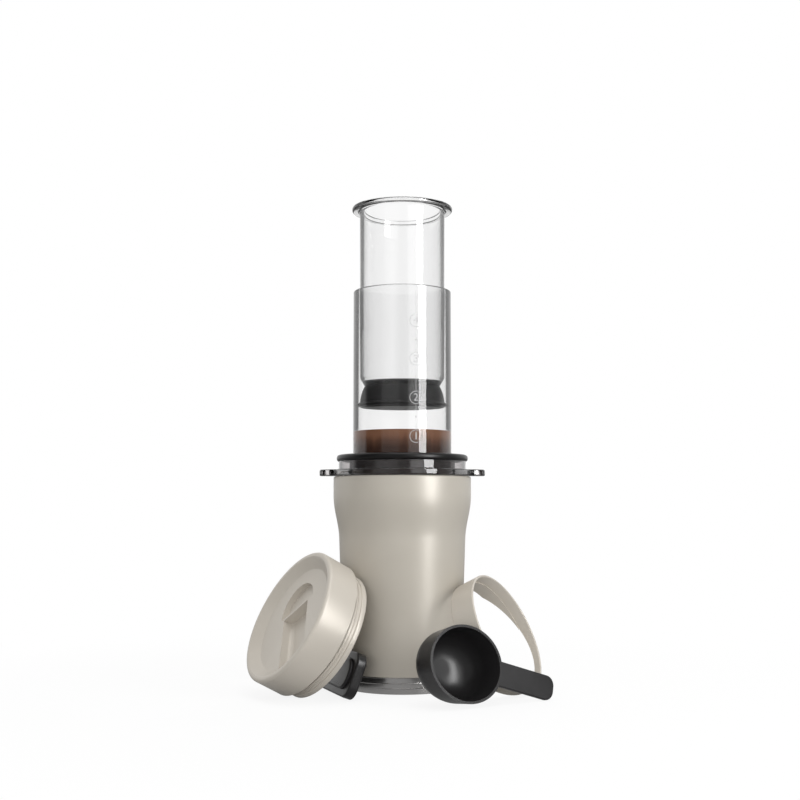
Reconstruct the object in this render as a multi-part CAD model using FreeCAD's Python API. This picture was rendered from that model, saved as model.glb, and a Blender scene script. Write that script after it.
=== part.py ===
import FreeCAD, Part
import math
import os

from FreeCAD import Matrix, Placement, Rotation, Vector

# Travel coffee press kit, in millimetres, +Z up.
# The origin is the centre of the tumbler's foot, on the surface that the kit stands on.
# The viewer stands on the -Y side; +X is to the viewer's right.

# Clearances
weld_gap = 0.05
seat_gap = 0.2
running_fit = 0.08
lean_gap = 0.3
lean_tolerance = 0.01
lean_steps = 12

# Tumbler: coated outer shell
rim_height = 138.0
neck_radius = 45.8
neck_length = 12.0
waist_radius = 41.9
swell_length = 28.5
foot_radius = 38.8
foot_height = 10.7
waist_ease = 10.0
neck_ease = 11.0
shell_wall = 0.8
shell_rim_round = 1.2

# Tumbler: inner liner
mouth_radius = 42.3
mouth_depth = 12.0
throat_depth = 27.0
cup_radius = 37.8
cup_foot_radius = 35.2
cup_floor = 16.0
cup_round = 9.0

# Tumbler: bare steel base with its thread band
band_radius = 37.2
band_wall = 1.2
base_floor = 3.0
base_floor_thickness = 1.2
base_spigot = 5.0
shoulder_height = 0.7
shoulder_radius = 38.5
shoulder_round = 0.2
foot_round = 0.35
base_disc_thickness = 0.8
vacuum_cap_radius = 5.0
vacuum_cap_thickness = 0.9
pressed_round = 0.3

# Press chamber
chamber_radius = 32.9
chamber_wall = 2.7
chamber_length = 132.0
chamber_sink = 7.4
chamber_foot_radius = 33.8
chamber_foot_height = 1.0
chamber_lip_round = 0.9

# Eared collar round the foot of the chamber
plate_radius = 46.8
plate_thickness = 4.3
plate_round = 1.0
ear_reach = 55.0
ear_width = 26.0
ear_corner = 9.0
ear_blend = 7.0
sleeve_wall = 2.2
sleeve_clearance = 0.1
skirt_radius = 42.4
skirt_wall = 1.8
skirt_height = 5.4

# Collar gasket
gasket_radius = 43.75
gasket_height = 4.4
gasket_bead = 2.1
gasket_bore_clearance = 0.5
gasket_foot_round = 0.4
gasket_bore_round = 0.8

# Filter cap and paper filter
cap_wall = 2.2
cap_height = 9.3
cap_floor = 2.0
cap_foot_round = 1.0
cap_mouth_round = 0.5
cap_running_gap = 0.3
cap_rib_count = 30
cap_rib_reach = 0.7
cap_rib_width = 1.6
cap_rib_inset = 1.2
hole_radius = 1.5
hole_pitch = 7.5
hole_rings = 3
paper_thickness = 0.2
paper_margin = 1.2
bayonet_count = 3
bayonet_lug_angle = 18.0
bayonet_slot_angle = 24.0
bayonet_turn = 30.0
bayonet_lug_height = 1.6
bayonet_groove_height = 2.0
bayonet_groove_rise = 1.8
bayonet_groove_wall = 0.8

# Plunger and its rubber seal
plunger_top_radius = 28.75
plunger_foot_radius = 28.1
plunger_wall = 2.2
plunger_length = 122.9
plunger_height = 197.5
plunger_floor = 3.0
plunger_mouth_bevel = 1.2
plunger_bore_round = 2.5
nose_radius = 25.0
nose_height = 5.0
nose_round = 4.0
nose_edge_round = 0.6
flange_radius = 34.0
flange_thickness = 3.1
flange_round = 1.2
flange_root_round = 1.5
stem_radius = 10.0
stem_length = 3.0
button_radius = 13.0
button_length = 5.5
button_round = 0.8
seal_height = 14.4
seal_body_radius = 28.2
seal_body_round = 1.8
seal_lip_height = 1.6
seal_lip_drop = 11.9
seal_lip_flare = 1.4
seal_lip_round = 0.4
seal_side_ease = 4.5
seal_snap = 0.1
stroke_clearance = 0.3

# Lid, standing on its edge against the tumbler
lid_radius = 44.3
lid_height = 20.9
lid_rim_round = 2.0
lid_rim_land = 1.2
lid_inner_round = 0.9
lid_foot_round = 0.5
recess_depth = 5.0
recess_floor_radius = 34.5
recess_round = 1.5
lid_underside_depth = 6.8
trough_width = 25.0
trough_depth = 6.6
trough_draft = 1.6
trough_round = 3.5
trough_angle = -50.0
trough_offset = 1.5
trough_start = -6.0
web_thickness = 1.3
dish_radius = 16.5
dish_deep_angle = 150.0
dish_x = -3.0
dish_y = 8.0
dish_depth = 4.2
plug_radius = 40.6
plug_band_radius = 41.35
plug_band_height = 3.6
plug_band_round = 0.7
plug_height = 9.7
plug_wall = 3.2
plug_roof = 2.0
lid_seal_height = 2.2
lid_seal_section = 1.6
lid_seal_reach = 0.2
lid_seal_round = 0.7
lid_disc_thickness = 1.0
lid_disc_inset = 0.4
lid_facing_angle = -61.3
lid_lean_angle = 28.1
lid_x = -55.5
lid_start_y = -60.0

# Base ring, leaning on the other side
ring_radius = 39.2
ring_height = 16.5
ring_front_bore = 37.6
ring_front_depth = 7.4
ring_thread_bore = 36.9
ring_round = 0.7
ring_low_height = 4.0
ring_low_angle = -40.0
ring_cut_start = -2.0
ring_facing_angle = 63.0
ring_lean_angle = 26.5
ring_x = 67.2
ring_start_y = -60.0

# Scoop, lying in front
scoop_bowl_radius = 22.9
scoop_stretch = 1.15
scoop_bowl_depth = 29.0
scoop_bowl_foot = 20.6
scoop_bowl_round = 17.0
scoop_bowl_wall = 1.5
handle_width = 15.1
handle_length = 40.5
handle_thickness = 3.0
handle_corner = 6.0
handle_edge = 0.9
scoop_facing_angle = 34.3
scoop_lean_angle = 10.9
scoop_roll_angle = -17.3
scoop_x = 38.0
scoop_start_y = -98.0

# Filter case, standing on its long edge between the lid and the tumbler
case_length = 66.0
case_height = 28.6
case_depth = 6.4
case_corner = 8.0
case_edge = 1.2
case_wall = 1.6
cover_margin = 4.6
cover_thickness = 3.0
cover_sunk = 1.2
cover_corner = 9.0
cover_bead = 1.1
cover_bead_width = 2.6
cover_panel_depth = 0.7
cover_gap = 0.3
paper_stack_height = 3.4
paper_stack_margin = 0.8
case_facing_angle = 19.7
case_lean_angle = 20.0
case_start_x = -45.2
case_start_y = -70.1

# Levels of the neck, the waist and the press, from the tumbler's rim
neck_start = rim_height - neck_length
waist_height = neck_start - swell_length
plate_bottom = rim_height + seat_gap
plate_top = plate_bottom + plate_thickness
skirt_top = plate_top + skirt_height
gasket_bottom = skirt_top + weld_gap
sleeve_radius = chamber_radius + sleeve_clearance
sleeve_outer_radius = sleeve_radius + sleeve_wall
chamber_bore = chamber_radius - chamber_wall
chamber_bottom = rim_height - chamber_sink
chamber_top = chamber_bottom + chamber_length
sleeve_bottom = chamber_bottom + chamber_foot_height + weld_gap
paper_bottom = chamber_bottom - weld_gap - paper_thickness
cap_floor_top = paper_bottom - weld_gap
cap_bottom = cap_floor_top - cap_floor
cap_bore = sleeve_outer_radius + cap_running_gap
cap_radius = cap_bore + cap_wall
groove_bottom = sleeve_bottom + bayonet_groove_rise
groove_radius = sleeve_radius + bayonet_groove_wall
plunger_top = plunger_height + plunger_length
seal_top = plunger_height - weld_gap


def corner_arc(before, corner, after, radius):
    """Tangent points and middle of the arc that rounds one corner of an outline."""
    to_before = (before - corner).normalize()
    to_after = (after - corner).normalize()
    half = to_before.getAngle(to_after) / 2
    reach = radius / math.tan(half)
    centre = corner + (to_before + to_after).normalize() * (radius / math.sin(half))
    middle = centre + (corner - centre).normalize() * radius
    return corner + to_before * reach, middle, corner + to_after * reach


def rounded_wire(corners, axes):
    """Closed wire through (a, b, rounding) corners in the plane that axes names."""
    spots = []
    for corner in corners:
        spots.append(axes(corner[0], corner[1]))
    edges = []
    starts = []
    ends = []
    for index, corner in enumerate(corners):
        rounding = corner[2] if len(corner) > 2 else 0.0
        spot = spots[index]
        if rounding > 0.0:
            before = spots[index - 1]
            after = spots[(index + 1) % len(spots)]
            first, middle, last = corner_arc(before, spot, after, rounding)
            edges.append(Part.Arc(first, middle, last).toShape())
            starts.append(first)
            ends.append(last)
        else:
            starts.append(spot)
            ends.append(spot)
    for index in range(len(spots)):
        follower = (index + 1) % len(spots)
        if ends[index].distanceToPoint(starts[follower]) > 1e-6:
            edges.append(Part.LineSegment(ends[index], starts[follower]).toShape())
    return Part.Wire(Part.__sortEdges__(edges))


def in_section(radius, height):
    return Vector(radius, 0, height)


def in_plan(x, y):
    return Vector(x, y, 0)


def turned(corners):
    """Solid of revolution about Z from (radius, height, rounding) corners."""
    face = Part.Face(rounded_wire(corners, in_section))
    return face.revolve(Vector(0, 0, 0), Vector(0, 0, 1), 360)


def extruded(corners, bottom, top):
    """Upright prism from (x, y, rounding) corners."""
    face = Part.Face(rounded_wire(corners, in_plan))
    face.translate(Vector(0, 0, bottom))
    return face.extrude(Vector(0, 0, top - bottom))


def tube(inner, outer, bottom, top):
    """Plain ring of rectangular section about Z."""
    return turned([(inner, bottom), (outer, bottom), (outer, top), (inner, top)])


def disc(radius, bottom, top):
    return Part.makeCylinder(radius, top - bottom, Vector(0, 0, bottom))


def sector(radius, bottom, top, angle, middle_angle):
    """Wedge of a disc, centred on middle_angle."""
    wedge = Part.makeCylinder(radius, top - bottom, Vector(0, 0, bottom), Vector(0, 0, 1), angle)
    wedge.rotate(Vector(0, 0, 0), Vector(0, 0, 1), middle_angle - angle / 2)
    return wedge


def about_axis(count):
    """Angles of count equal steps round a turn."""
    return [360.0 * index / count for index in range(count)]


def one_solid(shape):
    """The single solid of a finished boolean result."""
    return shape.removeSplitter().Solids[0]


def shell_side(inset):
    """Edges of the body's side, from foot to neck, moved inwards by inset."""
    foot = in_section(foot_radius - inset, foot_height)
    waist = in_section(waist_radius - inset, waist_height)
    neck = in_section(neck_radius - inset, neck_start)
    taper = (waist - foot).normalize()
    swell = Part.BezierCurve()
    swell.setPoles([waist, waist + taper * waist_ease, neck - Vector(0, 0, neck_ease), neck])
    return [Part.LineSegment(foot, waist).toShape(), swell.toShape()]


def shell_outline(inset, top):
    """Closed outline of the body, filled to its axis, with its side moved in by inset."""
    foot = in_section(foot_radius - inset, foot_height)
    neck = in_section(neck_radius - inset, neck_start)
    crown = in_section(neck_radius - inset, top)
    edges = shell_side(inset)
    edges.append(Part.LineSegment(neck, crown).toShape())
    edges.append(Part.LineSegment(crown, in_section(0, top)).toShape())
    edges.append(Part.LineSegment(in_section(0, top), in_section(0, foot_height)).toShape())
    edges.append(Part.LineSegment(in_section(0, foot_height), foot).toShape())
    face = Part.Face(Part.Wire(Part.__sortEdges__(edges)))
    return face.revolve(Vector(0, 0, 0), Vector(0, 0, 1), 360)


def ring_edges(shape, radius, height):
    """Circular edges of a shape at one radius and height about Z."""
    found = []
    for edge in shape.Edges:
        box = edge.BoundBox
        flat = abs(box.ZMin - height) < 0.01 and abs(box.ZMax - height) < 0.01
        if flat and abs(box.XMax - radius) < 0.01:
            found.append(edge)
    return found


def tumbler_shell():
    """Outer wall with its straight neck and the lip that turns in to the liner."""
    outer = shell_outline(0.0, rim_height)
    outer = outer.makeFillet(shell_rim_round, ring_edges(outer, neck_radius, rim_height))
    hollow = shell_outline(shell_wall, rim_height - shell_wall)
    lip_bore = disc(mouth_radius + shell_wall + weld_gap, rim_height - 2 * shell_wall, rim_height + 1)
    return one_solid(outer.cut(hollow).cut(lip_bore))


def liner_form(inset, top):
    """Filled form of the inner cup; inset is 0 for its inside and minus the wall for its outside."""
    throat = rim_height - throat_depth
    return turned([
        (0, cup_floor + inset),
        (cup_foot_radius - inset, cup_floor + inset, cup_round - inset),
        (cup_radius - inset, throat),
        (mouth_radius - inset, rim_height - mouth_depth),
        (mouth_radius - inset, top),
        (0, top),
    ])


def tumbler_liner():
    """Inner cup, wider at the mouth, where the lid's neck goes in."""
    return one_solid(liner_form(-shell_wall, rim_height).cut(liner_form(0.0, rim_height + 1)))


def tumbler_base():
    """Bare steel foot: a band that takes the base ring's thread, a floor and a spigot."""
    inner = band_radius - band_wall
    shoulder_top = foot_height - weld_gap
    floor_top = base_floor + base_floor_thickness
    return turned([
        (inner, 0, foot_round),
        (band_radius, 0, foot_round),
        (band_radius, shoulder_top - shoulder_height),
        (shoulder_radius, shoulder_top - shoulder_height, shoulder_round),
        (shoulder_radius, shoulder_top, shoulder_round),
        (band_radius, shoulder_top),
        (band_radius, foot_height + base_spigot),
        (inner, foot_height + base_spigot),
        (inner, floor_top),
        (0, floor_top),
        (0, base_floor),
        (inner, base_floor),
    ])


def vacuum_cap():
    """Small cap that closes the evacuation hole under the base's floor."""
    top = base_floor - weld_gap
    return turned([
        (0, top - vacuum_cap_thickness),
        (vacuum_cap_radius, top - vacuum_cap_thickness, pressed_round),
        (vacuum_cap_radius, top),
        (0, top),
    ])


def base_disc():
    """Pressed disc that covers the cap from below."""
    top = base_floor - vacuum_cap_thickness - 2 * weld_gap
    radius = band_radius - band_wall - seat_gap
    return turned([
        (0, top - base_disc_thickness),
        (radius, top - base_disc_thickness, pressed_round),
        (radius, top),
        (0, top),
    ])


def chamber_tube():
    """Clear cylinder with a small foot flange under the collar."""
    return turned([
        (chamber_bore, chamber_bottom),
        (chamber_foot_radius, chamber_bottom),
        (chamber_foot_radius, chamber_bottom + chamber_foot_height),
        (chamber_radius, chamber_bottom + chamber_foot_height),
        (chamber_radius, chamber_top, chamber_lip_round),
        (chamber_bore, chamber_top, chamber_lip_round),
    ])


def collar_plate():
    """Flat plate with two opposite rounded ears, bored for the chamber."""
    ears = extruded([
        (-ear_reach, -ear_width / 2, ear_corner),
        (ear_reach, -ear_width / 2, ear_corner),
        (ear_reach, ear_width / 2, ear_corner),
        (-ear_reach, ear_width / 2, ear_corner),
    ], plate_bottom, plate_top)
    plate = disc(plate_radius, plate_bottom, plate_top).fuse(ears).removeSplitter()
    inside_corners = []
    for edge in plate.Edges:
        box = edge.BoundBox
        upright = box.XMax - box.XMin < 0.01 and box.YMax - box.YMin < 0.01
        on_rim = abs(math.hypot(box.XMax, box.YMax) - plate_radius) < 0.01
        if upright and on_rim and abs(abs(box.YMax) - ear_width / 2) < 0.01:
            inside_corners.append(edge)
    plate = plate.makeFillet(ear_blend, inside_corners)
    outline = []
    for edge in plate.Edges:
        box = edge.BoundBox
        if box.ZMax - box.ZMin < 0.01:
            outline.append(edge)
    return plate.makeFillet(plate_round, outline)


def bayonet_cuts():
    """Groove round the sleeve and the entry slots that lead into it."""
    groove_top = groove_bottom + bayonet_groove_height
    outside = sleeve_outer_radius + 1
    cuts = tube(groove_radius, outside, groove_bottom, groove_top)
    for angle in about_axis(bayonet_count):
        slot = sector(outside, sleeve_bottom - 1, groove_top, bayonet_slot_angle, angle - bayonet_turn)
        cuts = cuts.fuse(slot.cut(disc(groove_radius, sleeve_bottom - 2, groove_top + 1)))
    return cuts


def chamber_collar():
    """Eared plate, sleeve that grips the chamber and skirt that carries the gasket."""
    sleeve = tube(sleeve_radius, sleeve_outer_radius, sleeve_bottom, skirt_top)
    skirt = tube(skirt_radius - skirt_wall, skirt_radius, plate_top - plate_round, skirt_top)
    bore = disc(sleeve_radius, plate_bottom - 1, plate_top + 1)
    body = collar_plate().cut(bore).fuse(sleeve).fuse(skirt)
    return one_solid(body.cut(bayonet_cuts()))


def collar_gasket():
    """Black ring with a rounded bead that stands proud of the skirt."""
    top = gasket_bottom + gasket_height
    bore = chamber_radius + gasket_bore_clearance
    return turned([
        (bore, gasket_bottom, gasket_foot_round),
        (gasket_radius, gasket_bottom, gasket_bead - gasket_foot_round),
        (gasket_radius, top, gasket_bead),
        (bore, top, gasket_bore_round),
    ])


def filter_holes():
    """Rows of round holes on rings about the centre."""
    holes = [disc(hole_radius, cap_bottom - 1, cap_floor_top + 1)]
    for row in range(1, hole_rings + 1):
        for angle in about_axis(6 * row):
            hole = disc(hole_radius, cap_bottom - 1, cap_floor_top + 1)
            hole.translate(Vector(row * hole_pitch, 0, 0))
            hole.rotate(Vector(0, 0, 0), Vector(0, 0, 1), angle)
            holes.append(hole)
    return Part.makeCompound(holes)


def filter_cap():
    """Perforated cap with grip ribs outside and bayonet lugs inside."""
    top = cap_bottom + cap_height
    cup = turned([
        (0, cap_bottom),
        (cap_radius, cap_bottom, cap_foot_round),
        (cap_radius, top, cap_mouth_round),
        (cap_bore, top),
        (cap_bore, cap_floor_top),
        (0, cap_floor_top),
    ])
    pieces = []
    for angle in about_axis(cap_rib_count):
        rib = Part.makeBox(cap_wall / 2 + cap_rib_reach, cap_rib_width, cap_height - 2 * cap_rib_inset)
        rib.translate(Vector(cap_radius - cap_wall / 2, -cap_rib_width / 2, cap_bottom + cap_rib_inset))
        rib.rotate(Vector(0, 0, 0), Vector(0, 0, 1), angle)
        pieces.append(rib)
    lug_bottom = groove_bottom + (bayonet_groove_height - bayonet_lug_height) / 2
    lug_radius = groove_radius + cap_running_gap
    for angle in about_axis(bayonet_count):
        lug = sector(cap_bore + cap_wall / 2, lug_bottom, lug_bottom + bayonet_lug_height,
                     bayonet_lug_angle, angle)
        pieces.append(lug.cut(disc(lug_radius, lug_bottom - 1, lug_bottom + bayonet_lug_height + 1)))
    return one_solid(cup.fuse(pieces).cut(filter_holes()))


def paper_filter():
    """Round paper held between the cap's floor and the chamber's foot."""
    return disc(chamber_foot_radius - paper_margin, paper_bottom, paper_bottom + paper_thickness)


def plunger_tube():
    """Clear tube with a top flange, a nose that narrows and the stem that holds the seal."""
    flange_bottom = plunger_top - flange_thickness
    button_top = plunger_height - stem_length
    outer = turned([
        (0, button_top - button_length),
        (button_radius, button_top - button_length, button_round),
        (button_radius, button_top, button_round),
        (stem_radius, button_top),
        (stem_radius, plunger_height),
        (nose_radius, plunger_height, nose_edge_round),
        (plunger_foot_radius, plunger_height + nose_height, nose_round),
        (plunger_top_radius, flange_bottom, flange_root_round),
        (flange_radius, flange_bottom, flange_round),
        (flange_radius, plunger_top, flange_round),
        (0, plunger_top),
    ])
    bevel_radius = plunger_top_radius - plunger_wall + plunger_mouth_bevel
    inner = turned([
        (0, plunger_height + plunger_floor),
        (plunger_foot_radius - plunger_wall, plunger_height + plunger_floor, plunger_bore_round),
        (plunger_top_radius - plunger_wall, plunger_top - plunger_mouth_bevel),
        (bevel_radius, plunger_top),
        (bevel_radius, plunger_top + 1),
        (0, plunger_top + 1),
    ])
    return one_solid(outer.cut(inner))


def seal_side(lip_top):
    """Bulging upper body of the seal, from the plunger's nose down to the lip."""
    top_edge = in_section(nose_radius, seal_top)
    foot_edge = in_section(seal_body_radius, lip_top)
    upper_pull = in_section((nose_radius + seal_body_radius) / 2, seal_top - seal_side_ease / 2)
    lower_pull = in_section(seal_body_radius, lip_top + seal_side_ease)
    bulge = Part.BezierCurve()
    bulge.setPoles([top_edge, upper_pull, lower_pull, foot_edge])
    edges = [
        Part.LineSegment(in_section(0, seal_top), top_edge).toShape(),
        bulge.toShape(),
        Part.LineSegment(foot_edge, in_section(0, lip_top)).toShape(),
        Part.LineSegment(in_section(0, lip_top), in_section(0, seal_top)).toShape(),
    ]
    face = Part.Face(Part.Wire(Part.__sortEdges__(edges)))
    return face.revolve(Vector(0, 0, 0), Vector(0, 0, 1), 360)


def plunger_seal():
    """Rubber cup that snaps on the stem, with a wiping lip and a rounded foot."""
    lip_radius = chamber_bore - running_fit
    lip_top = seal_top - seal_lip_drop
    lip_bottom = lip_top - seal_lip_height
    lip = turned([
        (0, lip_bottom),
        (lip_radius, lip_bottom, seal_lip_round),
        (lip_radius, lip_top, seal_lip_round),
        (seal_body_radius, lip_top + seal_lip_flare),
        (0, lip_top + seal_lip_flare),
    ])
    foot = turned([
        (0, seal_top - seal_height),
        (seal_body_radius, seal_top - seal_height, seal_body_round),
        (seal_body_radius, lip_top),
        (0, lip_top),
    ])
    button_top = plunger_height - stem_length
    cavity = disc(stem_radius + seal_snap, button_top - seal_snap, seal_top + 1)
    cavity = cavity.fuse(disc(button_radius + seal_snap, button_top - button_length - seal_snap,
                              button_top + seal_snap))
    return one_solid(seal_side(lip_top).fuse([foot, lip]).cut(cavity))


def face_frame(bearing, lean):
    """Turn that lays local +Z on a bearing from the viewer's side, raised by lean."""
    azimuth = math.radians(bearing)
    rise = math.radians(lean)
    normal = Vector(math.cos(rise) * math.sin(azimuth), -math.cos(rise) * math.cos(azimuth),
                    math.sin(rise))
    across = Vector(math.cos(azimuth), math.sin(azimuth), 0)
    return Rotation(across, normal.cross(across), normal, "ZXY")


def stand(shapes, rotation, x, y):
    """Turn shapes together, put their origin at x, y and drop them onto the surface."""
    group = Part.makeCompound([shape.copy() for shape in shapes])
    group.Placement = Placement(Vector(x, y, 0), rotation)
    low = group.optimalBoundingBox(False, False).ZMin
    return Placement(Vector(x, y, -low), rotation)


def moved(shapes, placement):
    """Copies of shapes at a placement."""
    result = []
    for shape in shapes:
        copy = shape.copy()
        copy.Placement = placement.multiply(copy.Placement)
        result.append(copy)
    return result


def lean_on(shapes, placement, support, way):
    """Slide a placed group along way until only the leaning gap is left to its support."""
    group = Part.makeCompound(moved(shapes, placement))
    gap = group.distToShape(support)[0]
    travelled = 0.0
    closing_rate = 1.0
    for _ in range(lean_steps):
        step = (gap - lean_gap) / closing_rate
        group.translate(way * step)
        travelled += step
        closer = group.distToShape(support)[0]
        closing_rate = (gap - closer) / step
        gap = closer
        if gap - lean_gap < lean_tolerance or closing_rate <= 0.0:
            break
    return Placement(placement.Base + way * travelled, placement.Rotation)


def finger_dish(floor):
    """Round hollow whose floor slopes from its deep side up to the level of the recess."""
    slope = math.degrees(math.atan2(dish_depth, 2 * dish_radius))
    under = Part.makeBox(4 * dish_radius, 4 * dish_radius, dish_radius)
    under.translate(Vector(-4 * dish_radius, -2 * dish_radius, -dish_radius))
    under.rotate(Vector(0, 0, 0), Vector(0, 1, 0), -slope)
    under.translate(Vector(dish_radius, 0, floor))
    dish = disc(dish_radius, floor - 2 * dish_depth, floor + 1).cut(under)
    dish.rotate(Vector(0, 0, 0), Vector(0, 0, 1), dish_deep_angle - 180)
    dish.translate(Vector(dish_x, dish_y, 0))
    return dish


def grip_trough(floor):
    """Straight-sided trough with a rounded bottom, from its end wall out to the rim."""
    half = trough_width / 2
    bottom = floor - trough_depth
    face = Part.Face(rounded_wire([
        (-half, lid_height),
        (-half, floor),
        (trough_draft - half, bottom, trough_round),
        (half - trough_draft, bottom, trough_round),
        (half, floor),
        (half, lid_height),
    ], across_trough))
    trough = face.extrude(Vector(2 * lid_radius, 0, 0))
    trough.rotate(Vector(0, 0, 0), Vector(0, 0, 1), trough_angle)
    return trough.common(disc(recess_floor_radius + recess_round / 2, 0, lid_height))


def across_trough(sideways, height):
    return Vector(trough_start, trough_offset + sideways, height)


def lid_cap():
    """Round cover with a rolled rim, a sunken top, a finger dish and a grip trough."""
    rim_bore = lid_radius - lid_rim_round - lid_rim_land
    spigot_bore = plug_radius - plug_wall + seat_gap
    floor = lid_height - recess_depth
    body = turned([
        (0, lid_underside_depth),
        (spigot_bore, lid_underside_depth),
        (spigot_bore, 0),
        (lid_radius, 0, lid_foot_round),
        (lid_radius, lid_height, lid_rim_round),
        (rim_bore, lid_height, lid_inner_round),
        (recess_floor_radius, floor, recess_round),
        (0, floor),
    ])
    beyond_web = Part.makeBox(3 * trough_width, 3 * trough_width, lid_height)
    beyond_web.translate(Vector(trough_start - web_thickness, -1.5 * trough_width, 0))
    beyond_web.rotate(Vector(0, 0, 0), Vector(0, 0, 1), trough_angle)
    return one_solid(body.cut(grip_trough(floor)).cut(finger_dish(floor).cut(beyond_web)))


def lid_plug():
    """Neck that goes into the mouth: groove for the seal, thread zone and end band."""
    groove = plug_radius - lid_seal_section
    seal_zone = lid_seal_height + 2 * weld_gap
    inner = plug_radius - plug_wall
    solid = turned([
        (0, lid_underside_depth - weld_gap),
        (inner, lid_underside_depth - weld_gap),
        (inner, -weld_gap),
        (groove, -weld_gap),
        (groove, -weld_gap - seal_zone),
        (plug_radius, -weld_gap - seal_zone),
        (plug_radius, -plug_height + plug_band_height),
        (plug_band_radius, -plug_height + plug_band_height, plug_band_round),
        (plug_band_radius, -plug_height, plug_band_round),
        (inner, -plug_height),
        (inner, -plug_roof),
        (0, -plug_roof),
    ])
    return solid


def lid_seal():
    """Silicone ring in the groove under the lid's shoulder."""
    bore = plug_radius - lid_seal_section + weld_gap
    top = -2 * weld_gap
    return turned([
        (bore, top - lid_seal_height),
        (plug_radius + lid_seal_reach, top - lid_seal_height, lid_seal_round),
        (plug_radius + lid_seal_reach, top, lid_seal_round),
        (bore, top),
    ])


def lid_disc():
    """Plate that closes the neck from inside."""
    bottom = -plug_height + lid_disc_inset
    return disc(plug_radius - plug_wall - weld_gap, bottom, bottom + lid_disc_thickness)


def base_ring():
    """Open hoop with a stepped bore; one side of its back edge is cut away at a slant."""
    hoop = turned([
        (ring_thread_bore, -ring_height, ring_round),
        (ring_radius, -ring_height, ring_round),
        (ring_radius, 0, ring_round),
        (ring_front_bore, 0, ring_round),
        (ring_front_bore, -ring_front_depth),
        (ring_thread_bore, -ring_front_depth),
    ])
    rise = ring_height - ring_low_height
    slant = math.degrees(math.atan2(rise, ring_radius - ring_cut_start))
    cutter = Part.makeBox(3 * ring_radius, 3 * ring_radius, 2 * ring_height)
    cutter.translate(Vector(0, -1.5 * ring_radius, -2 * ring_height))
    cutter.rotate(Vector(0, 0, 0), Vector(0, 1, 0), -slant)
    cutter.translate(Vector(ring_cut_start, 0, -ring_height))
    cutter.rotate(Vector(0, 0, 0), Vector(0, 0, 1), ring_low_angle)
    return one_solid(hoop.cut(cutter))


def scoop():
    """Oval bowl, longer towards its handle, with a flat paddle handle level with the rim."""
    stretch = Matrix()
    stretch.scale(scoop_stretch, 1.0, 1.0)
    outer = turned([
        (0, -scoop_bowl_depth),
        (scoop_bowl_foot, -scoop_bowl_depth, scoop_bowl_round),
        (scoop_bowl_radius, 0),
        (0, 0),
    ]).transformGeometry(stretch)
    inner = turned([
        (0, -scoop_bowl_depth + scoop_bowl_wall),
        (scoop_bowl_foot - scoop_bowl_wall, -scoop_bowl_depth + scoop_bowl_wall,
         scoop_bowl_round - scoop_bowl_wall),
        (scoop_bowl_radius - scoop_bowl_wall, 0),
        (scoop_bowl_radius - scoop_bowl_wall, 1),
        (0, 1),
    ]).transformGeometry(stretch)
    rim = scoop_bowl_radius * scoop_stretch
    root = rim - 3 * scoop_bowl_wall
    handle = extruded([
        (root, -handle_width / 2),
        (rim + handle_length, -handle_width / 2, handle_corner),
        (rim + handle_length, handle_width / 2, handle_corner),
        (root, handle_width / 2),
    ], -handle_thickness, 0)
    border = []
    for edge in handle.Edges:
        box = edge.BoundBox
        level = box.ZMax - box.ZMin < 0.01
        if level and box.XMax > root + 0.01:
            border.append(edge)
    handle = handle.makeFillet(handle_edge, border)
    return one_solid(outer.fuse(handle).cut(inner))


def case_block(margin, corner, bottom, top):
    """Rounded block inside the case's outline, margin in from every side."""
    return extruded([
        (margin - case_length, margin, corner),
        (-margin, margin, corner),
        (-margin, case_height - margin, corner),
        (margin - case_length, case_height - margin, corner),
    ], bottom, top)


def level_edges(shape, height):
    """Edges of a shape that lie at one height."""
    found = []
    for edge in shape.Edges:
        box = edge.BoundBox
        if abs(box.ZMin - height) < 0.01 and abs(box.ZMax - height) < 0.01:
            found.append(edge)
    return found


def case_body():
    """Shallow tray, open at its face, with a sunken seat for the cover."""
    block = case_block(0, case_corner, -case_depth, 0)
    block = block.makeFillet(case_edge, level_edges(block, -case_depth) + level_edges(block, 0))
    seat = case_block(cover_margin - cover_gap, cover_corner + cover_gap, -cover_sunk, 1)
    pocket = case_block(cover_margin + case_wall, cover_corner - case_wall, -case_depth + case_wall, 1)
    return one_solid(block.cut(seat).cut(pocket))


def case_cover():
    """Raised cover with a bead round its edge."""
    bottom = -cover_sunk + weld_gap
    top = bottom + cover_thickness
    cover = case_block(cover_margin, cover_corner, bottom, top)
    cover = cover.makeFillet(cover_bead, level_edges(cover, top))
    panel = case_block(cover_margin + cover_bead_width, cover_corner - cover_bead_width,
                       top - cover_panel_depth, top + 1)
    return one_solid(cover.cut(panel))


def filter_stack():
    """Folded paper filters inside the case."""
    inset = cover_margin + case_wall + paper_stack_margin
    bottom = -case_depth + case_wall + weld_gap
    return case_block(inset, cover_corner - case_wall - paper_stack_margin, bottom,
                      bottom + paper_stack_height)


def case_way():
    """Level direction square to the case's face, from the lid towards the tumbler."""
    bearing = math.radians(case_facing_angle)
    return Vector(math.cos(bearing), math.sin(bearing), 0)


def case_frame():
    """Turn of the case: near end towards the viewer, face towards the lid, top leaning back."""
    bearing = math.radians(case_facing_angle)
    lean = math.radians(case_lean_angle)
    along = Vector(math.sin(bearing), -math.cos(bearing), 0)
    up = Vector(0, 0, 1) * math.cos(lean) + case_way() * math.sin(lean)
    return Rotation(along, up, along.cross(up), "ZXY")


def write(name, shape):
    shape.exportStep("parts/" + name + ".step")
    print(name, "volume %.1f" % shape.Volume, "valid", shape.isValid(), "solids", len(shape.Solids))


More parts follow.
